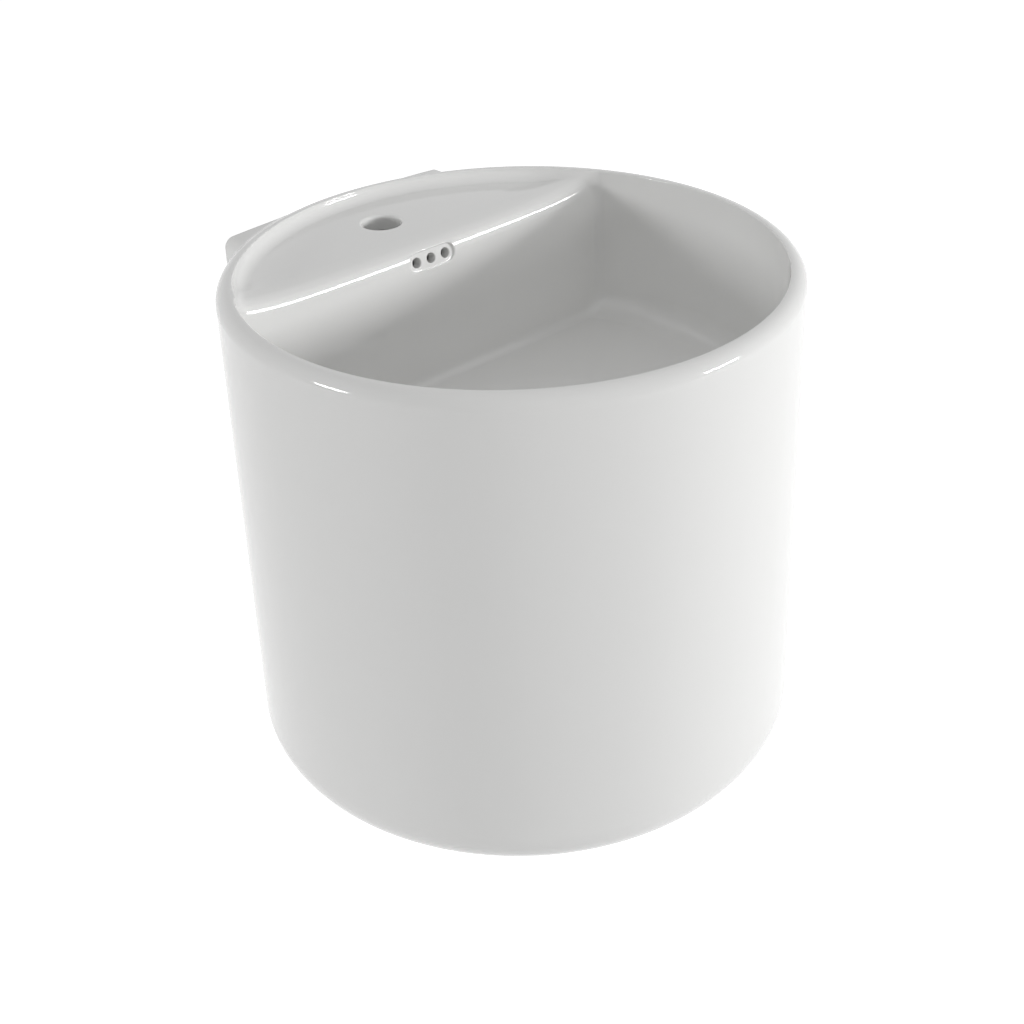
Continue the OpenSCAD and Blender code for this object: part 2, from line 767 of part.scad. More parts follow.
// Cup that unscrews for cleaning, with grip ribs and a shoulder for its seal
module trap_cup() {
    color(chrome) at_waste() difference() {
        union() {
            translate([0, 0, cup_top]) rotate_extrude() cup_section();
            grips(cup_r, cup_bottom + cup_edge_r, cup_top - over);
        }
        translate([0, 0, bottle_bottom - cup_seal_t]) cylinder(r = cup_bore_r, h = far);
        translate([0, 0, cup_bottom + cup_wall]) cylinder(r = bottle_in_r, h = far);
    }
}

// Half section of the cup's outer form, with a rounded lower edge
module cup_section() {
    cup_h = cup_top - cup_bottom;
    translate([0, -cup_h]) square([cup_r - cup_edge_r, cup_h]);
    translate([0, cup_edge_r - cup_h]) square([cup_r, cup_h - cup_edge_r]);
    translate([cup_r - cup_edge_r, cup_edge_r - cup_h]) circle(r = cup_edge_r);
}

// Seal between the bottle and the cup's shoulder
module trap_cup_seal() {
    color(rubber) at_waste() ring(bottle_r, bottle_in_r, bottle_bottom - cup_seal_t, bottle_bottom);
}

// Nut that locks the outlet pipe in the bottle's outlet neck
module trap_outlet_nut() {
    color(chrome) at_waste() at_outlet() translate([0, 0, outlet_neck_l + trap_seal_t + nut_end_t])
        mirror([0, 0, 1]) trap_nut(neck_r + run_gap);
}

// Seal on the end of the outlet neck
module trap_outlet_seal() {
    color(rubber) at_waste() at_outlet()
        ring(neck_r, pipe_r + run_gap, outlet_neck_l, outlet_neck_l + trap_seal_t);
}

// Outlet pipe from the bottle into the wall, with a rolled mark where it enters the wall
module outlet_pipe() {
    wall_z = waste_y + axis_to_wall;
    color(chrome) at_waste() at_outlet() difference() {
        ring(pipe_r, pipe_in_r, outlet_neck_l - pipe_insert, wall_z + outlet_in_wall);
        ring(pipe_r + over, pipe_r - mark_depth, wall_z - mark_w, wall_z);
    }
}

// Rosette that covers the hole in the wall
module wall_rosette() {
    wall_z = waste_y + axis_to_wall;
    color(chrome) at_waste() at_outlet() difference() {
        union() {
            translate([0, 0, wall_z - rosette_edge_h]) cylinder(d = rosette_d, h = rosette_edge_h);
            translate([0, 0, wall_z - rosette_h])
                cylinder(d1 = rosette_top_d, d2 = rosette_d, h = rosette_h - rosette_edge_h);
        }
        translate([0, 0, wall_z - rosette_h - over]) cylinder(r = pipe_r + run_gap, h = rosette_h + 2 * over);
    }
}

// Two studs: a pointed coarse thread inside the wall, and a thinner thread on the room side
module fixing_studs() {
    color(zinc) at_fixings() {
        translate([0, 0, -stud_in_wall]) cylinder(r1 = wall_tip_r, r2 = wall_thread_r, h = wall_tip_l);
        translate([0, 0, wall_tip_l - stud_in_wall]) cylinder(r = wall_thread_r, h = stud_in_wall - wall_tip_l);
        translate([0, 0, -over]) cylinder(r = stud_r, h = stud_in_room - stud_tip + over);
        translate([0, 0, stud_in_room - stud_tip]) cylinder(r1 = stud_r, r2 = stud_r - stud_tip, h = stud_tip);
    }
}

// Two collared sleeves that keep the studs off the ceramic
module fixing_sleeves() {
    color(white_plastic) at_fixings() difference() {
        union() {
            translate([0, 0, loose_gap]) cylinder(r = sleeve_r, h = back_t);
            translate([0, 0, back_t]) cylinder(d = sleeve_collar_d, h = sleeve_collar_t);
        }
        translate([0, 0, -over]) cylinder(r = thread_bore_r, h = far);
    }
}

// Two steel washers
module fixing_washers() {
    color(zinc) at_fixings() ring(washer_d / 2, thread_bore_r, washer_z, nut_z);
}

// Two hexagonal nuts
module fixing_nuts() {
    color(zinc) at_fixings() difference() {
        translate([0, 0, nut_z]) cylinder(r = nut_r, h = nut_h, $fn = 6);
        translate([0, 0, nut_z - over]) cylinder(r = thread_bore_r, h = nut_h + 2 * over);
    }
}

// Two domed caps over the nuts
module fixing_nut_caps() {
    color(white_plastic) at_fixings() difference() {
        translate([0, 0, nut_z]) rotate_extrude() cap_section();
        translate([0, 0, nut_z - over]) cylinder(r = cap_in_r, h = cap_l - cap_wall - cap_dome_r + over);
    }
}

// Half section of a nut cap's outer form
module cap_section() {
    square([cap_r - cap_dome_r, cap_l]);
    square([cap_r, cap_l - cap_dome_r]);
    translate([cap_r - cap_dome_r, cap_l - cap_dome_r]) circle(r = cap_dome_r);
}

basin_body();
waste_body();
waste_top_washer();
waste_cone_seal();
waste_slip_washer();
waste_back_nut();
plug_cap();
plug_seal();
plug_stem();
click_cartridge();
click_spring();
trap_inlet_nut();
trap_inlet_washer();
trap_inlet_tube();
trap_collar_nut();
trap_collar_seal();
trap_bottle();
trap_cup();
trap_cup_seal();
trap_outlet_nut();
trap_outlet_seal();
outlet_pipe();
wall_rosette();
fixing_studs();
fixing_sleeves();
fixing_washers();
fixing_nuts();
fixing_nut_caps();
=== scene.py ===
import math
import bmesh
import bpy
import numpy as np
from bpy.props import FloatProperty, FloatVectorProperty, IntProperty, PointerProperty
from bpy.types import Operator, Panel, PropertyGroup
from mathutils import Matrix, Vector


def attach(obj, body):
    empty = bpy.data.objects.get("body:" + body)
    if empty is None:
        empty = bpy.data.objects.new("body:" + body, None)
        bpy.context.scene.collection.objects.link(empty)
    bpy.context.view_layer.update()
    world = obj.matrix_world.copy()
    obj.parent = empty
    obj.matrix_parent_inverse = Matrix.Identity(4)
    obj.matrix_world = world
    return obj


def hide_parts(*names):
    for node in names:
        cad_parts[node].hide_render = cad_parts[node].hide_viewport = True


bl_info = {
    "name": "Drum Washbasin",
    "version": (1, 0, 0),
    "blender": (4, 5, 0),
    "location": "3D Viewport > Sidebar > Washbasin",
    "description": "Dresses a wall-hung drum washbasin with its glaze, fittings and studio",
    "category": "Object",
}

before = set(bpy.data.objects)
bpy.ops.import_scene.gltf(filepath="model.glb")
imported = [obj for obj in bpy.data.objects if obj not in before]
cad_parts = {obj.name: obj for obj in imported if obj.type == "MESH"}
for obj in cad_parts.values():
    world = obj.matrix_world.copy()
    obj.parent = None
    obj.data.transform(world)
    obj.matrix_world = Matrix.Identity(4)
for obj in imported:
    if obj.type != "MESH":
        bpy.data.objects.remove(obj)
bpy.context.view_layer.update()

# The drum's axis and rim in the frame of the part
DRUM_Y = -0.235
RIM_Z = 0.120
# The waste's axis, from the drum's axis
WASTE_Y = -0.030

# Rounding of an edge that stays as sharp as the solid's
SHARP = 1e-5
# The rolled front of the tap ledge: radius of each arc, its first and last tilt in degrees
ROLL = ((0.092, 0.0, 9.0), (0.022, 9.0, 34.0), (0.005, 34.0, 60.0), (0.020, 60.0, 90.0))
# Heights from the rim, low and high, between which one fillet turns into the next
PAD_CHANGE = (-0.020, -0.008)
LEDGE_CHANGE = (-0.026, -0.012)
FLOOR_CHANGE = (-0.135, -0.105)
# Where the rise of the ledge's ends fades: distances from the drum's axis, heights from the rim
RISE_BACK = (0.104, 0.150)
RISE_DOWN = (-0.060, -0.030)
# Softness of the dish's edge, as a share of its width: as finished, and as the solid has it
DISH_SOFT = 0.09
DISH_SHARP = 1e-3
# Lower end of the solid's ledge fillet, and width of its cove along the back wall's foot
LEDGE_FILLET_END = -0.03
COVE = 0.005
# Depths in the foot's opening and in the overflow holes down to which the surface is finished
FOOT_DEPTH = 0.020
HOLE_DEPTH = 0.020
# Rounding in the corner of the overflow's flat, and heights on it over which its edge gets round
FLAT_CORNER = 0.0012
FLAT_CHANGE = (-0.0085, 0.0)

# Distance within which the points of the CAD's mesh are one
WELD = 1e-6
# Step of the gradient, least squared slope and longest move when a point is settled
SLOPE_STEP = 2e-6
LEAST_SLOPE = 0.05
LONGEST_MOVE = 0.004
# Rounds of settling in the first pass and in the later ones
FIRST_ROUNDS = 10
LATER_ROUNDS = 5
# Offset to both sides of a step in the solid
STEP_ASIDE = 2e-5
# Faces that meet at more than this are shaded apart
CREASE = math.radians(35)
# Least cosine between a face and the true surface for the face to take its normals
LEAST_AGREEMENT = 0.2

# Distances from the foot ring and from the wall at which the glaze is still whole, and has gone
GLAZE_WHOLE = 0.0012
GLAZE_GONE = 0.0004
BISQUE_ROUGHNESS = 0.85
# Sockets of a mix node for colours and for values
COLOR_A, COLOR_B, COLOR_OUT = 6, 7, 2
VALUE_A, VALUE_B, VALUE_OUT = 2, 3, 0
WHITE = (1.0, 1.0, 1.0, 1.0)

# The lamps: name, property with the power, width and height, azimuth and elevation in degrees,
# and whether reflections show it
LAMPS = (
    ("right_lamp", "right_key", (1.6, 0.75), 306.0, 8.5, True),
    ("left_lamp", "left_key", (1.4, 0.75), 160.0, 7.5, True),
    ("front_lamp", "fill", (1.6, 0.8), 268.0, 10.0, False),
)
LAMP_TARGET = Vector((0.0, DRUM_Y, 0.10))
LAMP_DISTANCE = 6.0
# The soft light from all round: sine of the elevation, and strength
SKY_STEPS = ((0.0, 0.0), (0.25, 0.0), (0.55, 0.60), (0.80, 0.60), (0.90, 0.42))
FLOOR_COLOR = (0.80, 0.80, 0.80, 1.0)
FLOOR_ROUGHNESS = 0.9
FLOOR_SPECULAR = 0.1


# --- Properties --------------------------------------------------------------------------------

def length(label, text, default):
    """A length that the user may change."""
    return FloatProperty(name=label, description=text, default=default, min=0.0,
                         subtype="DISTANCE", unit="LENGTH")


def angle(label, text, degrees):
    """An angle that the user may change."""
    return FloatProperty(name=label, description=text, default=math.radians(degrees),
                         subtype="ANGLE", unit="ROTATION")


def color(label, text, default):
    """A colour that the user may change."""
    return FloatVectorProperty(name=label, description=text, default=default, size=3,
                               min=0.0, max=1.0, subtype="COLOR")


def power(label, text, default):
    """A lamp's power in watts that the user may change."""
    return FloatProperty(name=label, description=text, default=default, min=0.0, unit="POWER")


class WashbasinShape(PropertyGroup):
    """Sizes of the ceramic and the roundings of its edges."""
    drum_radius: length("Drum radius", "Radius of the outer wall", 0.240)
    drum_height: length("Drum height", "Height from the foot to the rim", 0.440)
    wall_distance: length("Wall distance", "Distance from the drum's axis to the wall", 0.235)
    rim_rounding: length("Rim rounding", "Rounding of the rim's outer edge", 0.012)
    foot_rounding: length("Foot rounding", "Rounding of the drum's bottom edge", 0.041)
    foot_opening: length("Foot opening", "Radius of the opening in the foot", 0.185)
    foot_lip: length("Foot lip", "Rounding of the opening's edge", 0.006)
    bowl_radius: length("Bowl radius", "Radius of the bowl's round wall", 0.226)
    bowl_depth: length("Bowl depth", "Depth of the floor's edge under the rim", 0.142)
    bowl_rounding: length("Bowl rounding", "Rounding between the floor and the round wall", 0.022)
    bowl_back: length("Bowl back", "Distance from the drum's axis to the bowl's back wall", 0.101)
    dish_radius: length("Dish radius", "Radius of the sloping part of the floor", 0.090)
    dish_drop: length("Dish drop", "Fall of the floor towards the waste", 0.006)
    seat_radius: length("Waste seat", "Radius of the recess for the waste's flange", 0.0335)
    ledge_drop: length("Ledge drop", "Drop from the rim to the tap ledge", 0.011)
    roll_radius: length("Roll radius", "Radius of the ledge's rolled front", 0.068)
    roll_y: length("Roll start", "Distance from the drum's axis to the start of the roll", 0.1361)
    lip_radius: length("Lip radius", "Radius of the lip over the bowl's back wall", 0.006)
    tap_radius: length("Tap hole", "Radius of the tap hole", 0.0175)
    tap_y: length("Tap place", "Distance from the drum's axis to the tap hole", 0.170)
    pad_half: length("Pad half width", "Half the width of the wall pad", 0.123)
    pad_drop: length("Pad drop", "Drop from the rim to the pad's top", 0.0046)
    pad_foot: length("Pad foot", "Height of the pad's lower edge over the foot", 0.045)
    pad_crown: length("Pad crown", "Radius of the pad's arched top", 2.0)
    pad_corner: length("Pad corner", "Rounding of the pad's corners", 0.009)
    pad_fillet: length("Pad fillet", "Fillet between the pad and the drum's wall", 0.008)
    pad_top_fillet: length("Pad top fillet", "Fillet between the pad's top and the rim", 0.0044)
    back_edge: length("Back edge", "Rounding of the edges against the wall", 0.0015)
    rim_edge: length("Rim edge", "Rounding of the rim's inner edge", 0.0012)
    ledge_fillet: length("Ledge fillet", "Fillet between the ledge and the rim", 0.0105)
    solid_fillet: length("Solid's fillet", "Radius of the solid's fillet behind the ledge", 0.0075)
    lip_rise: length("Lip rise", "Rise of the ledge's front at its two ends", 0.0086)
    lip_reach: length("Lip reach", "Length over which that rise fades out", 0.030)
    corner_fillet: length("Corner fillet", "Fillet in the bowl's two upright corners", 0.006)
    floor_fillet: length("Floor fillet", "Fillet between the floor and the back wall", 0.009)
    tap_edge: length("Tap hole edge", "Rounding of the tap hole's edge", 0.0027)
    over_radius: length("Overflow hole", "Radius of an overflow hole", 0.0045)
    over_pitch: length("Overflow pitch", "Spacing of the overflow holes", 0.016)
    over_drop: length("Overflow drop", "Drop from the rim to the overflow holes", 0.0262)
    over_recess: length("Overflow recess", "Depth of the flat round the overflow holes", 0.0027)
    over_flat: length("Overflow flat", "Radius of the ends of that flat", 0.0085)
    over_edge: length("Overflow edge", "Rounding of the flat's outline", 0.0014)
    hole_edge: length("Overflow hole edge", "Rounding of an overflow hole's edge", 0.0009)
    over_tilt: angle("Overflow tilt", "Tilt of the overflow holes", 17)
    face_tilt: angle("Overflow face tilt", "Tilt of the finished flat round the holes", 13)
    fineness: length("Fineness", "Largest gap between the mesh and the true surface", 0.00004)
    shortest_edge: length("Shortest edge", "Edges shorter than this are left whole", 0.0004)
    skin_depth: length("Skin depth", "Faces nearer than this to the outside are refined", 0.0022)
    largest_bend: angle("Largest bend", "Largest turn of the surface along an edge", 12)
    largest_error: angle("Largest error", "Largest error of the shading in mid-edge", 1.5)
    passes: IntProperty(name="Passes", description="Rounds of refining the mesh",
                        default=8, min=1, max=10)


class WashbasinFinish(PropertyGroup):
    """Colours of the finishes."""
    glaze: color("Glaze", "White glaze", (0.86, 0.86, 0.85))
    bisque: color("Bisque", "Unglazed ceramic", (0.62, 0.585, 0.53))
    chrome: color("Chrome", "Chromed brass", (0.66, 0.67, 0.68))
    zinc: color("Zinc", "Zinc-plated steel", (0.52, 0.54, 0.56))
    rubber: color("Rubber", "Black rubber", (0.022, 0.022, 0.023))
    white_plastic: color("White plastic", "White moulded plastic", (0.72, 0.72, 0.69))


class WashbasinStudio(PropertyGroup):
    """The camera, the lamps and the floor."""
    camera_distance: length("Camera distance", "Distance from the rim's centre", 1.33404)
    camera_azimuth: angle("Camera azimuth", "Direction of the camera's place", -42.0915)
    camera_elevation: angle("Camera elevation", "Elevation of the camera's place", 22.9355)
    camera_pan: angle("Camera pan", "Turn of the view away from the rim's centre", -1.3255)
    camera_tilt: angle("Camera tilt", "Downward tilt of the view", 27.8268)
    camera_roll: angle("Camera roll", "Roll of the view", -1.4452)
    lens: FloatProperty(name="Lens", description="Focal length in millimetres",
                        default=57.206, unit="CAMERA")
    shift_x: FloatProperty(name="Shift X", description="Shift of the picture to the side",
                           default=-0.0371)
    shift_y: FloatProperty(name="Shift Y", description="Shift of the picture upwards",
                           default=-0.1094)
    floor_drop: length("Floor drop", "Height of the rim over the floor", 0.850)
    floor_size: length("Floor size", "Half the width of the floor", 6.0)
    floor_glow: FloatProperty(name="Floor glow",
                              description="White that the camera and reflections see on the floor",
                              default=0.62, min=0.0)
    sky: FloatProperty(name="Sky", description="Strength of the light from all round",
                       default=1.0, min=0.0)
    right_key: power("Right lamp", "Power of the low lamp at the right", 165.0)
    left_key: power("Left lamp", "Power of the low lamp at the left", 97.0)
    fill: power("Front lamp", "Power of the soft lamp in front", 36.0)


# --- The ceramic's true surface ----------------------------------------------------------------

def meet(a, b, r):
    """Distance to what two solids share, with a round edge of radius r."""
    corner = np.hypot(np.maximum(a + r, 0.0), np.maximum(b + r, 0.0))
    return np.minimum(np.maximum(a, b), -r) + corner


def join(a, b, r):
    """Distance to two solids as one, with a fillet of radius r."""
    corner = np.hypot(np.maximum(r - a, 0.0), np.maximum(r - b, 0.0))
    return np.maximum(np.minimum(a, b), r) - corner


def ease(value, low, high):
    """0 below low, 1 above high, and a smooth step between them."""
    t = np.clip((value - low) / (high - low), 0.0, 1.0)
    return t * t * (3.0 - 2.0 * t)


def outer_form(s, x, y, z, q, rounded):
    """Distance to the drum with its wall pad."""
    drum = meet(q - s.drum_radius, z, s.rim_rounding)
    drum = meet(drum, -s.drum_height - z, s.foot_rounding)
    crown = np.hypot(x, z + s.pad_drop + s.pad_crown) - s.pad_crown
    pad = meet(np.abs(x) - s.pad_half, crown, s.pad_corner)
    pad = meet(pad, s.pad_foot - s.drum_height - z, s.pad_corner)
    pad = np.maximum(pad, -y)
    fillet = s.pad_fillet + (s.pad_top_fillet - s.pad_fillet) * ease(z, *PAD_CHANGE)
    body = join(drum, pad, fillet if rounded else SHARP)
    return meet(body, y - s.wall_distance, s.back_edge if rounded else SHARP)


def ledge_front(s, y, z):
    """Distance to the tap ledge, whose front rolls down into the back wall in ROLL's arcs."""
    arcs = [(radius, math.radians(low), math.radians(high)) for radius, low, high in ROLL]
    at_y = s.bowl_back + sum(radius * (math.sin(high) - math.sin(low))
                             for radius, low, high in arcs)
    at_z = -s.ledge_drop
    distance = z - at_z
    for radius, low, high in arcs:
        centre_y = at_y + radius * math.sin(low)
        centre_z = at_z - radius * math.cos(low)
        tilt = np.arctan2(centre_y - y, z - centre_z)
        arc = np.hypot(y - centre_y, z - centre_z) - radius
        distance = np.where(tilt > low, arc, distance)
        at_y = centre_y - radius * math.sin(high)
        at_z = centre_z + radius * math.cos(high)
    return np.where(z < at_z, s.bowl_back - y, distance)


def bowl_hollow(s, x, y, z, q, rounded):
    """Distance to the hollow of the bowl and over the tap ledge."""
    reach = (s.dish_radius - np.hypot(x, y - WASTE_Y)) / (s.dish_radius - s.seat_radius)
    soft = DISH_SOFT if rounded else DISH_SHARP
    reach = np.minimum(0.5 * (reach + np.sqrt(reach * reach + soft * soft)), 1.0)
    floor = -s.bowl_depth - s.dish_drop * reach - z
    recess = meet(q - s.bowl_radius, floor, s.bowl_rounding)
    if rounded:
        front = (1.0 - ease(y, *RISE_BACK)) * ease(z, *RISE_DOWN)
        lift = front * s.lip_rise * np.exp(np.minimum(q - s.bowl_radius, 0.0) / s.lip_reach)
        fillet = s.corner_fillet + (s.ledge_fillet - s.corner_fillet) * ease(z, *LEDGE_CHANGE)
        fillet = fillet + (s.floor_fillet - fillet) * (1.0 - ease(z, *FLOOR_CHANGE))
        return meet(recess, -ledge_front(s, y, z - lift), fillet)
    roll = np.hypot(y - s.roll_y, z + s.ledge_drop + s.roll_radius) - s.roll_radius
    top = np.where(y < s.roll_y, roll, z + s.ledge_drop)
    ledge = meet(top, s.bowl_back - y, s.lip_radius)
    behind = (z > LEDGE_FILLET_END) & (y >= s.roll_y)
    hollow = meet(recess, -ledge, np.where(behind, s.solid_fillet, SHARP))
    cove = ((y - s.bowl_back) - s.bowl_depth - z + COVE) / math.sqrt(2)
    return np.maximum(hollow, cove)


def ceramic_distance(s, points, rounded=True):
    """Distance from the points to the ceramic's outside, negative in the ceramic. The underside
    of the bowl and the inside of the skirt are left out: they keep the solid's own faces."""
    x = points[:, 0]
    y = points[:, 1] - DRUM_Y
    z = points[:, 2] - RIM_Z
    q = np.hypot(x, y)
    solid = outer_form(s, x, y, z, q, rounded)
    edge = s.rim_edge if rounded else SHARP
    solid = meet(solid, -bowl_hollow(s, x, y, z, q, rounded), edge)
    foot = np.maximum(q - s.foot_opening, z + s.drum_height - FOOT_DEPTH)
    solid = meet(solid, -foot, s.foot_lip)
    tap = s.tap_radius - np.hypot(x, y - s.tap_y)
    solid = meet(solid, tap, s.tap_edge if rounded else SHARP)
    return overflow(s, x, y, z, solid, rounded)


def overflow(s, x, y, z, solid, rounded):
    """Cuts the overflow's flat and its three holes into the solid."""
    ahead = y - s.bowl_back - s.over_recess
    above = z + s.over_drop
    cos, sin = math.cos(s.over_tilt), math.sin(s.over_tilt)
    inward = ahead * cos - above * sin
    upward = ahead * sin + above * cos
    face = inward
    if rounded:
        face = ahead * math.cos(s.face_tilt) - above * math.sin(s.face_tilt)
    flat = np.hypot(np.maximum(np.abs(x) - s.over_pitch, 0.0), upward) - s.over_flat
    dent = meet(flat, face, FLAT_CORNER if rounded else SHARP)
    dent = np.maximum(dent, -face - HOLE_DEPTH)
    edge = SHARP + s.over_edge * ease(upward, *FLAT_CHANGE) if rounded else SHARP
    solid = meet(solid, -dent, edge)
    for side in (-1, 0, 1):
        hole = s.over_radius - np.hypot(x - side * s.over_pitch, upward)
        hole = np.minimum(hole, inward + HOLE_DEPTH)
        solid = meet(solid, hole, s.hole_edge if rounded else SHARP)
    return solid


def slope(s, points):
    """Gradient of the distance at the points."""
    out = np.empty_like(points)
    for axis in range(3):
        move = np.zeros(3)
        move[axis] = SLOPE_STEP
        rise = ceramic_distance(s, points + move) - ceramic_distance(s, points - move)
        out[:, axis] = rise / (2 * SLOPE_STEP)
    return out


def unit(vectors):
    """The vectors at length 1."""
    return vectors / np.maximum(np.linalg.norm(vectors, axis=1), 1e-9)[:, None]


def settle(s, points, rounds):
    """The points, moved to the true surface along its normals."""
    points = points.copy()
    for _ in range(rounds):
        away = ceramic_distance(s, points)
        grad = slope(s, points)
        size = np.maximum((grad * grad).sum(1), LEAST_SLOPE)
        points -= np.clip(away / size, -LONGEST_MOVE, LONGEST_MOVE)[:, None] * grad
    return points


# --- Materials ---------------------------------------------------------------------------------

def add(tree, kind, place, **settings):
    """A new node at the given place of the node tree."""
    node = tree.nodes.new(kind)
    node.location = place
    for key, value in settings.items():
        setattr(node, key, value)
    return node


def link(tree, *pairs):
    """Joins an output with an input, for each pair of sockets."""
    for source, target in pairs:
        tree.links.new(source, target)


def surface_group():
    """Soft patches and fine grain, all over the surface: a roughness, a colour factor, a height."""
    old = bpy.data.node_groups.get("surface_variation")
    if old:
        bpy.data.node_groups.remove(old)
    tree = bpy.data.node_groups.new("surface_variation", "ShaderNodeTree")
    for name, default, low, high in (("Patch Scale", 20.0, 0.1, 1000.0),
                                     ("Grain Scale", 400.0, 1.0, 10000.0),
                                     ("Roughness", 0.3, 0.0, 1.0),
                                     ("Roughness Spread", 0.1, 0.0, 1.0),
                                     ("Shade Spread", 0.05, 0.0, 1.0),
                                     ("Grain Height", 0.3, 0.0, 1.0)):
        item = tree.interface.new_socket(name=name, in_out="INPUT", socket_type="NodeSocketFloat")
        item.default_value, item.min_value, item.max_value = default, low, high
    for name in ("Roughness", "Shade", "Height"):
        tree.interface.new_socket(name=name, in_out="OUTPUT", socket_type="NodeSocketFloat")
    ins = add(tree, "NodeGroupInput", (-900, 0)).outputs
    outs = add(tree, "NodeGroupOutput", (700, 0)).inputs
    coords = add(tree, "ShaderNodeTexCoord", (-900, -260))
    patch = add(tree, "ShaderNodeTexNoise", (-600, 200))
    patch.inputs["Detail"].default_value = 3.0
    grain = add(tree, "ShaderNodeTexNoise", (-600, -120))
    grain.inputs["Detail"].default_value = 4.0
    centred = add(tree, "ShaderNodeMath", (-380, 200), operation="SUBTRACT")
    centred.inputs[1].default_value = 0.5
    rough = add(tree, "ShaderNodeMath", (-120, 260), operation="MULTIPLY_ADD", use_clamp=True)
    shade = add(tree, "ShaderNodeMath", (-120, 60), operation="MULTIPLY_ADD")
    shade.inputs[2].default_value = 1.0
    fine = add(tree, "ShaderNodeMath", (-120, -140), operation="MULTIPLY")
    height = add(tree, "ShaderNodeMath", (160, -60), operation="ADD")
    link(tree,
         (coords.outputs["Object"], patch.inputs["Vector"]),
         (coords.outputs["Object"], grain.inputs["Vector"]),
         (ins["Patch Scale"], patch.inputs["Scale"]),
         (ins["Grain Scale"], grain.inputs["Scale"]),
         (patch.outputs["Fac"], centred.inputs[0]),
         (centred.outputs[0], rough.inputs[0]),
         (ins["Roughness Spread"], rough.inputs[1]),
         (ins["Roughness"], rough.inputs[2]),
         (centred.outputs[0], shade.inputs[0]),
         (ins["Shade Spread"], shade.inputs[1]),
         (grain.outputs["Fac"], fine.inputs[0]),
         (ins["Grain Height"], fine.inputs[1]),
         (fine.outputs[0], height.inputs[0]),
         (patch.outputs["Fac"], height.inputs[1]),
         (rough.outputs[0], outs["Roughness"]),
         (shade.outputs[0], outs["Shade"]),
         (height.outputs[0], outs["Height"]))


def new_material(name):
    """An empty material with its main shader."""
    old = bpy.data.materials.get(name)
    if old:
        bpy.data.materials.remove(old)
    mat = bpy.data.materials.new(name)
    mat.use_nodes = True
    tree = mat.node_tree
    tree.nodes.clear()
    out = add(tree, "ShaderNodeOutputMaterial", (600, 0))
    shader = add(tree, "ShaderNodeBsdfPrincipled", (300, 0))
    link(tree, (shader.outputs["BSDF"], out.inputs["Surface"]))
    return mat, tree, shader


def finish_material(name, tone, roughness, spread, shade, patch, grain, bump, depth,
                    metallic=0.0, ior=None):
    """A material whose colour, roughness and relief come from the shared surface group.
    spread and shade are how far roughness and colour vary, patch and grain the two scales,
    bump and depth the strength and the distance of the relief."""
    mat, tree, shader = new_material(name)
    group = add(tree, "ShaderNodeGroup", (-500, 0),
                node_tree=bpy.data.node_groups["surface_variation"])
    for key, value in (("Patch Scale", patch), ("Grain Scale", grain), ("Roughness", roughness),
                       ("Roughness Spread", spread), ("Shade Spread", shade),
                       ("Grain Height", 0.5)):
        group.inputs[key].default_value = value
    tint = add(tree, "ShaderNodeMix", (-200, 160), data_type="RGBA", blend_type="MULTIPLY")
    tint.inputs["Factor"].default_value = 1.0
    tint.inputs[COLOR_A].default_value = (*tone, 1.0)
    relief = add(tree, "ShaderNodeBump", (-200, -260))
    relief.inputs["Strength"].default_value = bump
    relief.inputs["Distance"].default_value = depth
    link(tree,
         (group.outputs["Shade"], tint.inputs[COLOR_B]),
         (tint.outputs[COLOR_OUT], shader.inputs["Base Color"]),
         (group.outputs["Roughness"], shader.inputs["Roughness"]),
         (group.outputs["Height"], relief.inputs["Height"]),
         (relief.outputs["Normal"], shader.inputs["Normal"]))
    shader.inputs["Metallic"].default_value = metallic
    if ior:
        shader.inputs["IOR"].default_value = ior
    mat.diffuse_color = (*tone, 1.0)
    return mat


def bare_side(tree, part, start, end, place):
    """A value that rises to 1 where the glaze ends, between two places on the part's axis."""
    side = add(tree, "ShaderNodeMapRange", place, interpolation_type="SMOOTHSTEP")
    side.inputs["From Min"].default_value = start
    side.inputs["From Max"].default_value = end
    link(tree, (part, side.inputs["Value"]))
    return side.outputs[0]


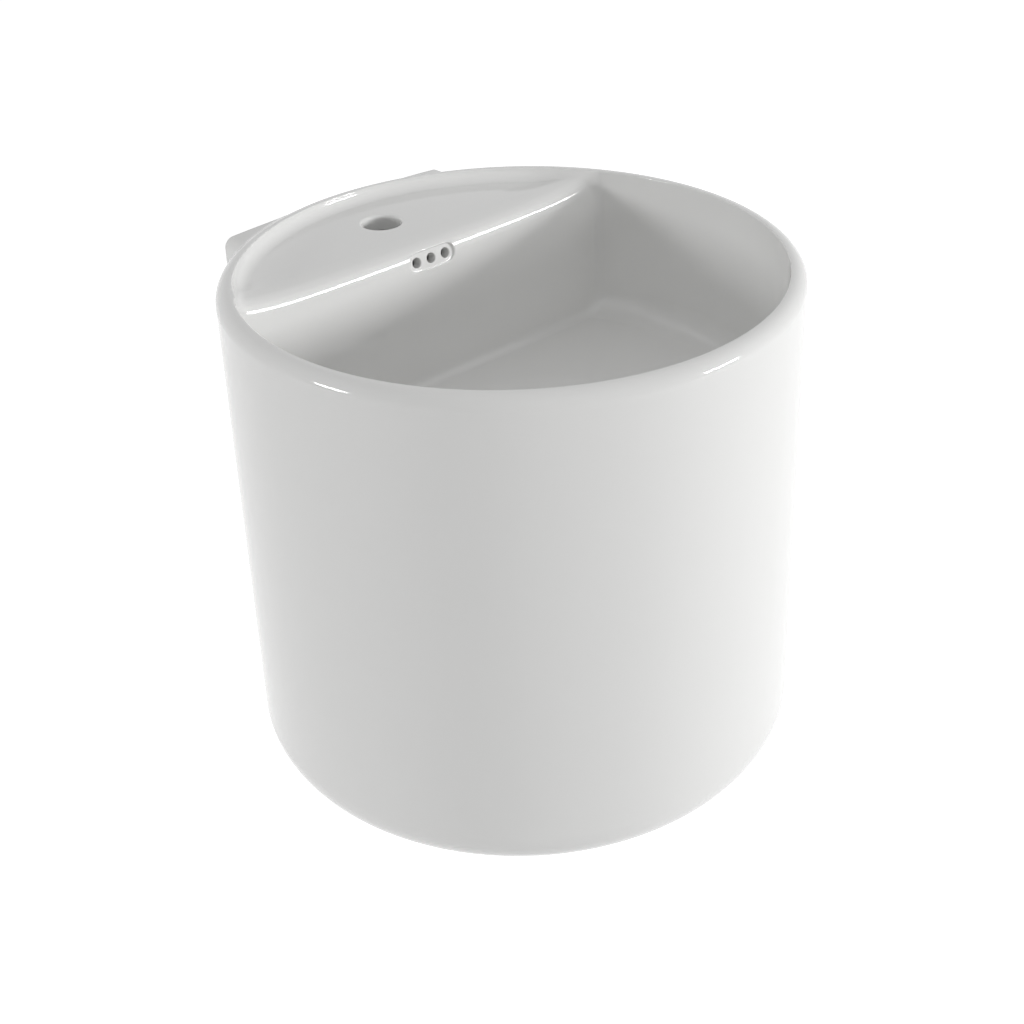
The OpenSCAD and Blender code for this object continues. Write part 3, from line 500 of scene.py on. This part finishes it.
def glaze_material(finish, shape):
    """White glaze that is left off the foot ring and the face against the wall."""
    mat = finish_material("white_glaze", finish.glaze, roughness=0.07, spread=0.02, shade=0.01,
                          patch=9.0, grain=55.0, bump=0.10, depth=0.0006, ior=1.52)
    tree = mat.node_tree
    shader = next(n for n in tree.nodes if n.type == "BSDF_PRINCIPLED")
    tint = next(n for n in tree.nodes if n.type == "MIX")
    group = next(n for n in tree.nodes if n.type == "GROUP")
    coords = add(tree, "ShaderNodeTexCoord", (-1100, -500))
    split = add(tree, "ShaderNodeSeparateXYZ", (-920, -500))
    link(tree, (coords.outputs["Object"], split.inputs[0]))
    foot_z = RIM_Z - shape.drum_height
    wall_y = DRUM_Y + shape.wall_distance
    foot = bare_side(tree, split.outputs["Z"], foot_z + GLAZE_WHOLE, foot_z + GLAZE_GONE,
                     (-720, -460))
    back = bare_side(tree, split.outputs["Y"], wall_y - GLAZE_WHOLE, wall_y - GLAZE_GONE,
                     (-720, -740))
    bare = add(tree, "ShaderNodeMath", (-520, -560), operation="MAXIMUM")
    tone = add(tree, "ShaderNodeMix", (60, 260), data_type="RGBA")
    tone.inputs[COLOR_B].default_value = (*finish.bisque, 1.0)
    rough = add(tree, "ShaderNodeMix", (60, 40), data_type="FLOAT")
    rough.inputs[VALUE_B].default_value = BISQUE_ROUGHNESS
    link(tree,
         (foot, bare.inputs[0]),
         (back, bare.inputs[1]),
         (bare.outputs[0], tone.inputs["Factor"]),
         (tint.outputs[COLOR_OUT], tone.inputs[COLOR_A]),
         (tone.outputs[COLOR_OUT], shader.inputs["Base Color"]),
         (bare.outputs[0], rough.inputs["Factor"]),
         (group.outputs["Roughness"], rough.inputs[VALUE_A]),
         (rough.outputs[VALUE_OUT], shader.inputs["Roughness"]))
    return mat


def dress(nodes, mat):
    """Gives the named parts a material."""
    for name in nodes:
        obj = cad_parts[name]
        if not obj.material_slots:
            obj.data.materials.append(mat)
        for held in obj.material_slots:
            held.link = "OBJECT"
            held.material = mat


# --- Operators ---------------------------------------------------------------------------------

class WASHBASIN_OT_surfaces(Operator):
    """Builds the node group that the materials share"""
    bl_idname = "washbasin.surfaces"
    bl_label = "Shared surfaces"

    def execute(self, context):
        surface_group()
        return {"FINISHED"}


class WASHBASIN_OT_ceramic(Operator):
    """Builds the glazed ceramic with all its edges rounded"""
    bl_idname = "washbasin.ceramic"
    bl_label = "Ceramic"

    def execute(self, context):
        s = context.scene.washbasin_shape
        body = bmesh.new()
        body.from_mesh(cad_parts["basin_body"].data)
        bmesh.ops.remove_doubles(body, verts=body.verts, dist=WELD)
        skin = self.mark_skin(s, body)
        for turn in range(s.passes):
            self.refine(s, body, skin, turn)
        mesh = bpy.data.meshes.new("ceramic_basin")
        for face in body.faces:
            face.smooth = True
        for edge in body.edges:
            if len({face[skin] for face in edge.link_faces}) == 2:
                edge.smooth = False
        body.to_mesh(mesh)
        body.free()
        self.true_normals(s, mesh)
        piece = bpy.data.objects.new("ceramic_basin", mesh)
        context.scene.collection.objects.link(piece)
        mesh.materials.append(glaze_material(context.scene.washbasin_finish, s))
        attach(piece, "basin")
        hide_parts("basin_body")
        print("ceramic:", len(mesh.polygons), "triangles")
        return {"FINISHED"}

    def skin_gap(self, s, points):
        """Distance to the sharp solid, from both sides of the step where its ledge fillet ends."""
        aside = np.array([0.0, STEP_ASIDE, 0.0])
        return np.minimum(np.abs(ceramic_distance(s, points + aside, rounded=False)),
                          np.abs(ceramic_distance(s, points - aside, rounded=False)))

    def mark_skin(self, s, body):
        """Marks the faces of the outside, which get the roundings. The others stay as they are."""
        body.verts.ensure_lookup_table()
        near = self.skin_gap(s, np.array([v.co[:] for v in body.verts])) < s.skin_depth
        centres = np.array([f.calc_center_median()[:] for f in body.faces])
        inside = self.skin_gap(s, centres) < s.skin_depth
        waste = np.hypot(centres[:, 0], centres[:, 1] - DRUM_Y - WASTE_Y) < s.seat_radius
        skin = body.faces.layers.int.new("skin")
        body.faces.ensure_lookup_table()
        for i, face in enumerate(body.faces):
            rounded = inside[i] and not waste[i] and all(near[v.index] for v in face.verts)
            face[skin] = bool(rounded)
        return skin

    def refine(self, s, body, skin, turn):
        """Moves the skin to the true surface, and cuts the edges that it bends away from."""
        moved = [v for v in body.verts if any(f[skin] for f in v.link_faces)]
        rounds = FIRST_ROUNDS if turn == 0 else LATER_ROUNDS
        for v, co in zip(moved, settle(s, np.array([v.co[:] for v in moved]), rounds)):
            v.co = co
        if turn == 0:
            edges = [e for e in body.edges if all(f[skin] for f in e.link_faces)]
            bmesh.ops.dissolve_degenerate(body, dist=s.shortest_edge / 2.0, edges=edges)
            bmesh.ops.triangulate(body, faces=[f for f in body.faces if len(f.verts) > 3])
            moved = [v for v in body.verts if any(f[skin] for f in v.link_faces)]
        if turn == s.passes - 1:
            return
        where = np.array([v.co[:] for v in moved])
        normal = unit(slope(s, where))
        index = {v: i for i, v in enumerate(moved)}
        edges = [e for e in body.edges if any(f[skin] for f in e.link_faces)]
        ends = np.array([[index[e.verts[0]], index[e.verts[1]]] for e in edges])
        first, last = ends[:, 0], ends[:, 1]
        span = np.linalg.norm(where[first] - where[last], axis=1)
        middle = 0.5 * (where[first] + where[last])
        gap = np.abs(ceramic_distance(s, middle))
        bend = (normal[first] * normal[last]).sum(1)
        mean = unit(normal[first] + normal[last])
        error = (mean * unit(slope(s, middle))).sum(1)
        uneven = (gap > s.fineness) | (bend < math.cos(s.largest_bend))
        wanted = uneven & (span > s.shortest_edge)
        wanted |= (error < math.cos(s.largest_error)) & (span > 3.0 * s.shortest_edge)
        bmesh.ops.subdivide_edges(body, edges=[e for e, cut in zip(edges, wanted) if cut], cuts=1)
        bmesh.ops.triangulate(body, faces=[f for f in body.faces if len(f.verts) > 3],
                              quad_method="SHORT_EDGE", ngon_method="BEAUTY")

    def true_normals(self, s, mesh):
        """Gives the skin the true surface's normals, so that reflections run smoothly over it."""
        mesh.set_sharp_from_angle(angle=CREASE)
        places = np.empty(len(mesh.vertices) * 3)
        mesh.vertices.foreach_get("co", places)
        normal = unit(slope(s, places.reshape(-1, 3)))
        corner = np.empty(len(mesh.loops), dtype=np.int32)
        mesh.loops.foreach_get("vertex_index", corner)
        flat = np.empty(len(mesh.polygons) * 3)
        mesh.polygons.foreach_get("normal", flat)
        flat = np.repeat(flat.reshape(-1, 3), 3, axis=0)
        skin = np.empty(len(mesh.polygons), dtype=np.int32)
        mesh.attributes["skin"].data.foreach_get("value", skin)
        own = (np.repeat(skin, 3) == 1) & ((normal[corner] * flat).sum(1) > LEAST_AGREEMENT)
        mesh.normals_split_custom_set(np.where(own[:, None], normal[corner], 0.0).tolist())
        mesh.attributes.remove(mesh.attributes["skin"])


class WASHBASIN_OT_metals(Operator):
    """Gives the chromed and the zinc-plated parts their finish"""
    bl_idname = "washbasin.metals"
    bl_label = "Metals"

    def execute(self, context):
        finish = context.scene.washbasin_finish
        chrome = finish_material("polished_chrome", finish.chrome, roughness=0.09, spread=0.06,
                                 shade=0.05, patch=60.0, grain=900.0, bump=0.12, depth=0.0002,
                                 metallic=1.0)
        zinc = finish_material("plated_steel", finish.zinc, roughness=0.34, spread=0.16,
                               shade=0.12, patch=140.0, grain=1800.0, bump=0.25, depth=0.0002,
                               metallic=1.0)
        dress(["waste_body", "waste_back_nut", "plug_cap", "trap_inlet_nut", "trap_inlet_tube",
               "trap_collar_nut", "trap_bottle", "trap_cup", "trap_outlet_nut", "outlet_pipe",
               "wall_rosette"], chrome)
        dress(["plug_stem", "click_spring", "fixing_studs", "fixing_washers", "fixing_nuts"], zinc)
        return {"FINISHED"}


class WASHBASIN_OT_soft_parts(Operator):
    """Gives the rubber and the plastic parts their finish"""
    bl_idname = "washbasin.soft_parts"
    bl_label = "Rubber and plastic"

    def execute(self, context):
        finish = context.scene.washbasin_finish
        rubber = finish_material("black_rubber", finish.rubber, roughness=0.62, spread=0.14,
                                 shade=0.35, patch=90.0, grain=2500.0, bump=0.35, depth=0.0002)
        white = finish_material("white_plastic", finish.white_plastic, roughness=0.38, spread=0.10,
                                shade=0.05, patch=70.0, grain=2200.0, bump=0.22, depth=0.0002)
        dress(["waste_top_washer", "waste_cone_seal", "plug_seal", "trap_inlet_washer",
               "trap_collar_seal", "trap_cup_seal", "trap_outlet_seal"], rubber)
        dress(["waste_slip_washer", "click_cartridge", "fixing_sleeves", "fixing_nut_caps"], white)
        return {"FINISHED"}


class WASHBASIN_OT_studio(Operator):
    """Sets up the floor, the lamps, the white surroundings and the camera"""
    bl_idname = "washbasin.studio"
    bl_label = "Studio"

    def execute(self, context):
        scene = context.scene
        s = scene.washbasin_studio
        scene.view_settings.view_transform = "Standard"
        self.floor(scene, s)
        self.surroundings(scene, s)
        for name, setting, size, azimuth, elevation, mirrored in LAMPS:
            lamp = self.lamp(scene, name, getattr(s, setting), size, azimuth, elevation)
            lamp.visible_glossy = mirrored
        self.camera(scene, s)
        return {"FINISHED"}

    def floor(self, scene, s):
        """A wide floor, white to the camera and in reflections."""
        mesh = bpy.data.meshes.new("studio_floor")
        plane = bmesh.new()
        bmesh.ops.create_grid(plane, x_segments=1, y_segments=1, size=s.floor_size)
        bmesh.ops.translate(plane, verts=plane.verts, vec=(0.0, 0.0, RIM_Z - s.floor_drop))
        plane.to_mesh(mesh)
        plane.free()
        floor = bpy.data.objects.new("studio_floor", mesh)
        scene.collection.objects.link(floor)
        mat, tree, shader = new_material("studio_floor")
        shader.inputs["Base Color"].default_value = FLOOR_COLOR
        shader.inputs["Roughness"].default_value = FLOOR_ROUGHNESS
        shader.inputs["Specular IOR Level"].default_value = FLOOR_SPECULAR
        shader.inputs["Emission Color"].default_value = WHITE
        glow = add(tree, "ShaderNodeMath", (0, -300), operation="MULTIPLY")
        glow.inputs[1].default_value = s.floor_glow
        link(tree,
             (self.seen_rays(tree), glow.inputs[0]),
             (glow.outputs[0], shader.inputs["Emission Strength"]))
        mesh.materials.append(mat)

    def seen_rays(self, tree):
        """1 where the ray comes from the camera, or from a mirror or glass that it sees."""
        path = add(tree, "ShaderNodeLightPath", (-500, -200))
        gloss = add(tree, "ShaderNodeMath", (-300, -200), operation="MAXIMUM")
        clear = add(tree, "ShaderNodeMath", (-150, -200), operation="MAXIMUM")
        link(tree,
             (path.outputs["Is Camera Ray"], gloss.inputs[0]),
             (path.outputs["Is Glossy Ray"], gloss.inputs[1]),
             (gloss.outputs[0], clear.inputs[0]),
             (path.outputs["Is Transmission Ray"], clear.inputs[1]))
        return clear.outputs[0]

    def surroundings(self, scene, s):
        """White to the camera and in reflections, and elsewhere a soft light in SKY_STEPS."""
        world = bpy.data.worlds.new("studio_white")
        scene.world = world
        world.use_nodes = True
        tree = world.node_tree
        tree.nodes.clear()
        out = add(tree, "ShaderNodeOutputWorld", (500, 0))
        back = add(tree, "ShaderNodeBackground", (250, 0))
        back.inputs["Color"].default_value = WHITE
        coords = add(tree, "ShaderNodeTexCoord", (-900, -460))
        split = add(tree, "ShaderNodeSeparateXYZ", (-720, -460))
        height = add(tree, "ShaderNodeMapRange", (-540, -460))
        height.inputs["From Min"].default_value = -1.0
        ramp = add(tree, "ShaderNodeValToRGB", (-340, -460))
        steps = ramp.color_ramp.elements
        steps.remove(steps[-1])
        for number, (sine, strength) in enumerate(SKY_STEPS):
            place = (sine + 1.0) / 2.0
            step = steps[0] if number == 0 else steps.new(place)
            step.position = place
            grey = strength * s.sky
            step.color = (grey, grey, grey, 1.0)
        level = add(tree, "ShaderNodeMix", (60, -60), data_type="FLOAT")
        level.inputs[VALUE_B].default_value = 1.0
        link(tree,
             (coords.outputs["Generated"], split.inputs[0]),
             (split.outputs["Z"], height.inputs["Value"]),
             (height.outputs[0], ramp.inputs["Fac"]),
             (self.seen_rays(tree), level.inputs["Factor"]),
             (ramp.outputs["Color"], level.inputs[VALUE_A]),
             (level.outputs[VALUE_OUT], back.inputs["Strength"]),
             (back.outputs[0], out.inputs["Surface"]))

    def lamp(self, scene, name, watts, size, azimuth, elevation):
        """A soft lamp that looks at the rim from the given side, angles in degrees."""
        light = bpy.data.lights.new(name, "AREA")
        light.shape = "RECTANGLE"
        light.size, light.size_y = size
        light.energy = watts
        lamp = bpy.data.objects.new(name, light)
        a, e = math.radians(azimuth), math.radians(elevation)
        direction = Vector((math.cos(a) * math.cos(e), math.sin(a) * math.cos(e), math.sin(e)))
        lamp.location = LAMP_TARGET + direction * LAMP_DISTANCE
        lamp.rotation_euler = (-direction).to_track_quat("-Z", "Y").to_euler()
        scene.collection.objects.link(lamp)
        return lamp

    def camera(self, scene, s):
        """The photo's camera: its place round the rim's centre, then its pan, tilt and roll."""
        data = bpy.data.cameras.new("photo_camera")
        data.sensor_width = 36.0
        data.lens = s.lens
        data.shift_x, data.shift_y = s.shift_x, s.shift_y
        data.clip_start, data.clip_end = 0.05, 50.0
        camera = bpy.data.objects.new("photo_camera", data)
        a, e = s.camera_azimuth, s.camera_elevation
        place = Vector((math.sin(a) * math.cos(e), -math.cos(a) * math.cos(e), math.sin(e)))
        place = place * s.camera_distance + Vector((0.0, DRUM_Y, RIM_Z))
        pan, tilt, roll = a + s.camera_pan, s.camera_tilt, s.camera_roll
        back = Vector((math.sin(pan) * math.cos(tilt), -math.cos(pan) * math.cos(tilt),
                       math.sin(tilt)))
        right = Vector((math.cos(pan), math.sin(pan), 0.0))
        up = back.cross(right)
        side = right * math.cos(roll) + up * math.sin(roll)
        up = up * math.cos(roll) - right * math.sin(roll)
        turn = Matrix((side, up, back)).transposed().to_4x4()
        camera.matrix_world = Matrix.Translation(place) @ turn
        scene.collection.objects.link(camera)
        scene.camera = camera


class WASHBASIN_PT_panel(Panel):
    """Panel that lists the steps"""
    bl_idname = "WASHBASIN_PT_panel"
    bl_label = "Washbasin"
    bl_space_type = "VIEW_3D"
    bl_region_type = "UI"
    bl_category = "Washbasin"

    def draw(self, context):
        column = self.layout.column(align=True)
        for operator in OPERATORS:
            column.operator(operator.bl_idname)


OPERATORS = (WASHBASIN_OT_surfaces, WASHBASIN_OT_ceramic, WASHBASIN_OT_metals,
             WASHBASIN_OT_soft_parts, WASHBASIN_OT_studio)
CLASSES = (WashbasinShape, WashbasinFinish, WashbasinStudio, *OPERATORS, WASHBASIN_PT_panel)


def register():
    for cls in CLASSES:
        bpy.utils.register_class(cls)
    bpy.types.Scene.washbasin_shape = PointerProperty(type=WashbasinShape)
    bpy.types.Scene.washbasin_finish = PointerProperty(type=WashbasinFinish)
    bpy.types.Scene.washbasin_studio = PointerProperty(type=WashbasinStudio)


def unregister():
    del bpy.types.Scene.washbasin_studio
    del bpy.types.Scene.washbasin_finish
    del bpy.types.Scene.washbasin_shape
    for cls in reversed(CLASSES):
        bpy.utils.unregister_class(cls)


def main():
    register()
    bpy.ops.washbasin.surfaces()
    bpy.ops.washbasin.ceramic()
    bpy.ops.washbasin.metals()
    bpy.ops.washbasin.soft_parts()
    bpy.ops.washbasin.studio()


if __name__ == "__main__":
    main()
